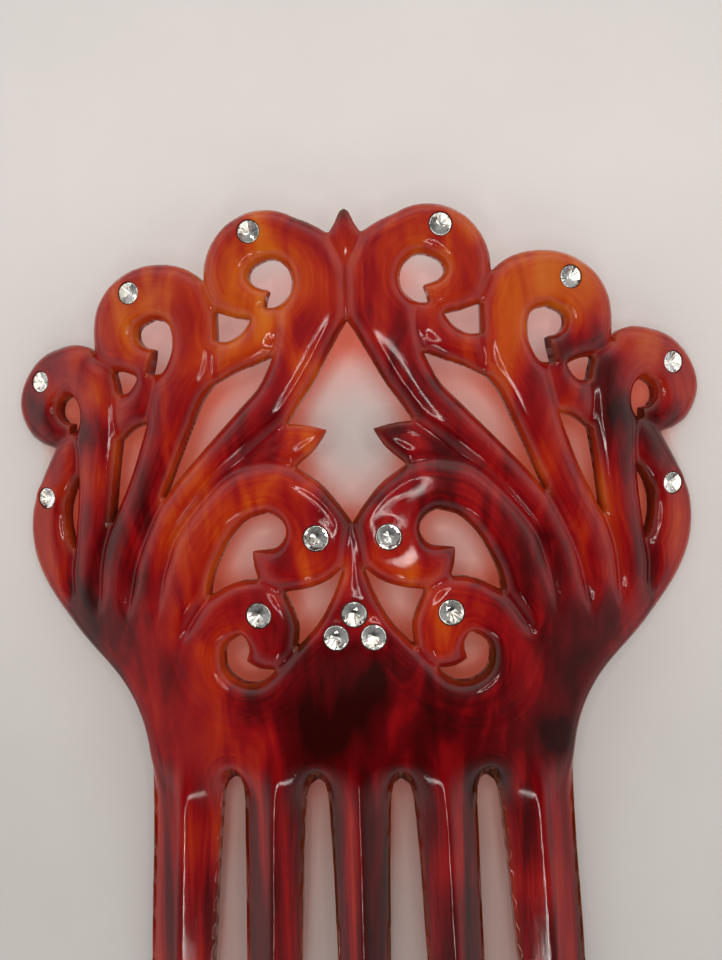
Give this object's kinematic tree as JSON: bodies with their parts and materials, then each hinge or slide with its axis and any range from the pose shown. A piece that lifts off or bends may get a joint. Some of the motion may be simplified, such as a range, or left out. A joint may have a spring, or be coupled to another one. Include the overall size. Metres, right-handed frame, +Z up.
{
  "type": "decorative hair comb",
  "caption": "Bowed openwork hair comb with carved scrolls and leaves over long tapering teeth, its scrolls and centre set with round faceted stones in cement.",
  "frame": {"origin": "middle of the lowest level of the whole comb, as it lies face up on a table", "axes": "+Z up, out of the carved face; +Y from the teeth to the top scrolls; +X to the right as seen from the front"},
  "size_m": [0.116, 0.1748, 0.0175],
  "materials": {
    "tortoiseshell": "polished, mottled red, amber and near black",
    "clear_glass": "faceted, foiled behind",
    "jewellers_cement": "matt"
  },
  "bodies": {
    "root": {"comb_body": "tortoiseshell", "rhinestone_01": "clear_glass", "cement_bed_01": "jewellers_cement", "rhinestone_02": "clear_glass", "cement_bed_02": "jewellers_cement", "rhinestone_03": "clear_glass", "cement_bed_03": "jewellers_cement", "rhinestone_04": "clear_glass", "cement_bed_04": "jewellers_cement", "rhinestone_05": "clear_glass", "cement_bed_05": "jewellers_cement", "rhinestone_06": "clear_glass", "cement_bed_06": "jewellers_cement", "rhinestone_07": "clear_glass", "cement_bed_07": "jewellers_cement", "rhinestone_08": "clear_glass", "cement_bed_08": "jewellers_cement", "rhinestone_09": "clear_glass", "cement_bed_09": "jewellers_cement", "rhinestone_10": "clear_glass", "cement_bed_10": "jewellers_cement", "rhinestone_11": "clear_glass", "cement_bed_11": "jewellers_cement", "rhinestone_12": "clear_glass", "cement_bed_12": "jewellers_cement", "rhinestone_13": "clear_glass", "cement_bed_13": "jewellers_cement", "rhinestone_14": "clear_glass", "cement_bed_14": "jewellers_cement", "rhinestone_15": "clear_glass", "cement_bed_15": "jewellers_cement"}
  },
  "joints": []
}
